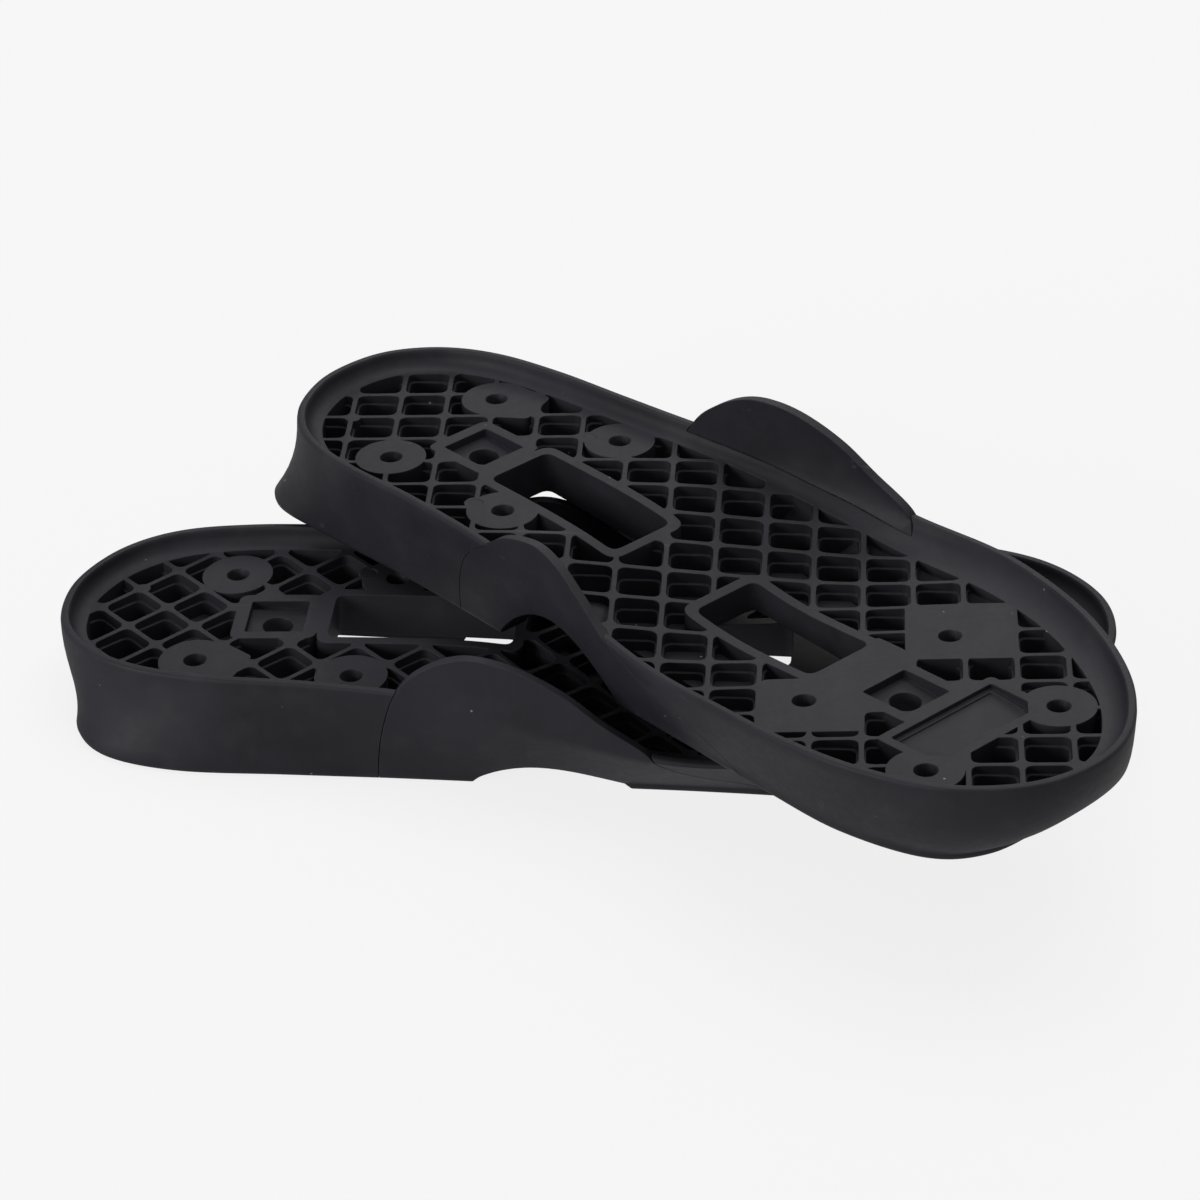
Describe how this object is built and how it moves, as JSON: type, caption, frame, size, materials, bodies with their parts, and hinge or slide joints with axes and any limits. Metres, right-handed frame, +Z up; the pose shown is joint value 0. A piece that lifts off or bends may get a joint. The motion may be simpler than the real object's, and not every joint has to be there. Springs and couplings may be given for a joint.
{
  "type": "inline skate sole plate pair",
  "caption": "Left and right moulded sole plates of inline skates, one lying across the other, each with a ribbed tray, raised side ears, arched grooves and frame bolt recesses.",
  "frame": {"origin": "on the floor, below the middle of the pair's bounding box", "axes": "+X along the right plate toward its toe, +Y toward the right plate's inner side, +Z up"},
  "size_m": [0.2936, 0.2276, 0.076],
  "materials": {
    "sole_plastic": "satin black moulding with fine scuffs",
    "panel_plastic": "satin black moulding, slightly smoother than the plate"
  },
  "bodies": {
    "right_plate": {"right_sole_plate": "sole_plastic", "right_outer_groove_panel": "panel_plastic", "right_inner_groove_panel": "panel_plastic"},
    "left_plate": {"left_sole_plate": "sole_plastic", "left_outer_groove_panel": "panel_plastic", "left_inner_groove_panel": "panel_plastic"}
  },
  "joints": [
    {"name": "left_plate_lift", "type": "slide", "parent": "right_plate", "child": "left_plate", "axis": [0, 0, 1], "range_m": [0, 0.08]}
  ]
}
